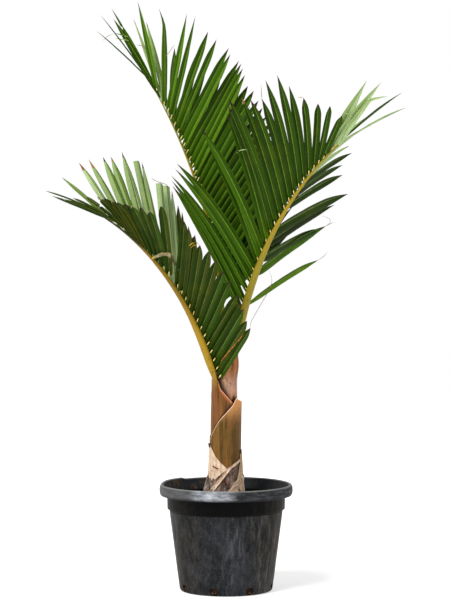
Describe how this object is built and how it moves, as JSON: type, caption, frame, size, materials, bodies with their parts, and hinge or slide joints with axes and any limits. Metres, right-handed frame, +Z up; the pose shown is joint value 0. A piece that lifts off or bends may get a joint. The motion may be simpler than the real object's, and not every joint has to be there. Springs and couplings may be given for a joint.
{
  "type": "potted spindle palm",
  "caption": "Young palm in a plain nursery pot: a stem wrapped in leaf sheaths and arching feather fronds, standing on the pot's flat underside.",
  "frame": {"origin": "centre of the pot's flat underside, on the pot's axis", "axes": "+Z up the pot's axis, -Y towards the viewer of the picture, +X to the viewer's right"},
  "size_m": [0.8983, 0.5305, 1.545],
  "materials": {
    "pot_plastic": "satin charcoal, dusty and scuffed",
    "potting_soil": "matte, crumbly",
    "stem_skin": "smooth, ringed",
    "brown_sheath": "waxy with grey bloom",
    "olive_sheath": "streaked, satin",
    "dry_sheath": "dry, papery",
    "leaf": "satin leaf"
  },
  "bodies": {
    "root": {"pot": "pot_plastic", "soil": "potting_soil", "trunk": "stem_skin", "inner_sheath": "brown_sheath", "left_frond_sheath": "brown_sheath", "cut_sheath": "olive_sheath", "dry_sheath": "dry_sheath", "right_frond": "leaf", "left_frond": "leaf", "tall_frond": "leaf"}
  },
  "joints": []
}
